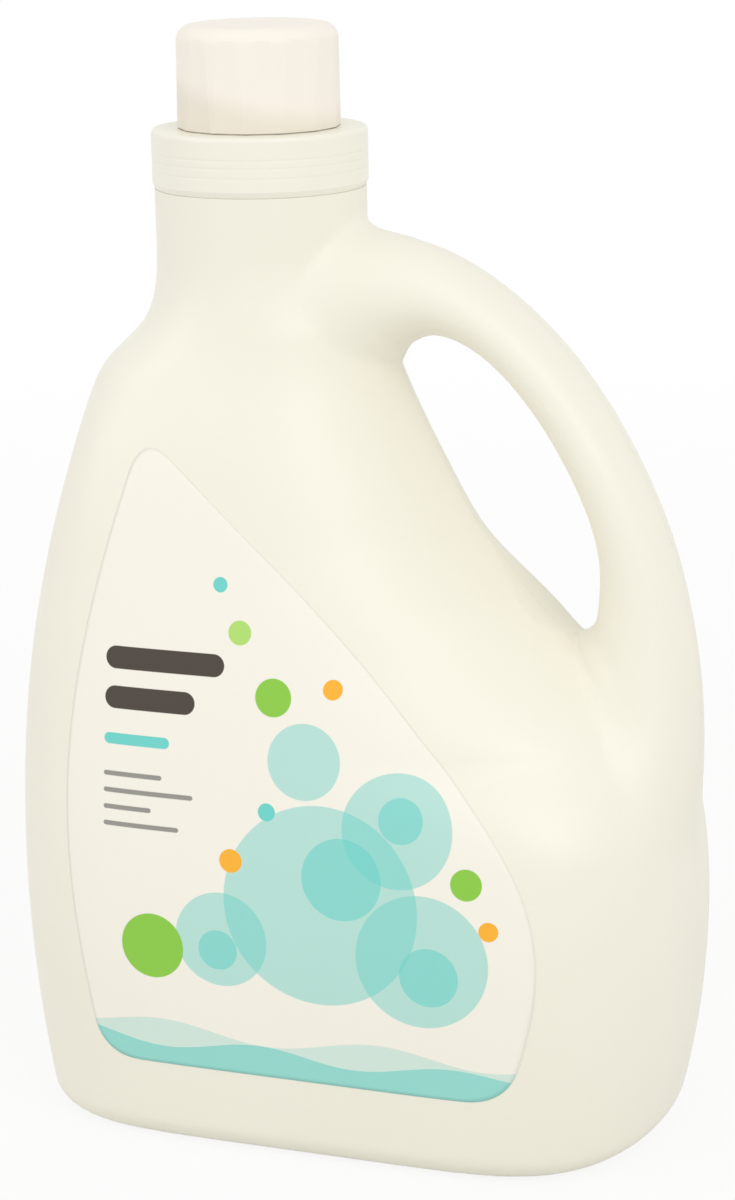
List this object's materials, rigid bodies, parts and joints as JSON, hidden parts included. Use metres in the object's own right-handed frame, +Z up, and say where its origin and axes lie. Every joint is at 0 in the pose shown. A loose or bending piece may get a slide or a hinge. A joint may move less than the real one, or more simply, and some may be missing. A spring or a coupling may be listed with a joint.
{
  "type": "laundry detergent bottle",
  "caption": "Wide blow-moulded plastic jug with a see-through side handle, a drain-back pour spout in a round collar, a screw-in measuring cup as its cap, and a film label on the front.",
  "frame": {"origin": "middle of the width and depth, on the surface that the jug stands on", "axes": "+X towards the handle, -Y out of the labelled front, +Z up"},
  "size_m": [0.1893, 0.1165, 0.2967],
  "materials": {
    "bottle_plastic": "satin off-white polyethylene",
    "spout_plastic": "smooth natural polypropylene",
    "cap_plastic": "frosted translucent polypropylene",
    "label_film": "printed matte film"
  },
  "bodies": {
    "jug": {"bottle": "bottle_plastic", "pour_spout": "spout_plastic", "front_label": "label_film"},
    "cap": {"dosing_cap": "cap_plastic"}
  },
  "joints": [
    {"name": "cap_lift", "type": "slide", "parent": "jug", "child": "cap", "axis": [0, 0, 1], "range_m": [0, 0.04]}
  ]
}
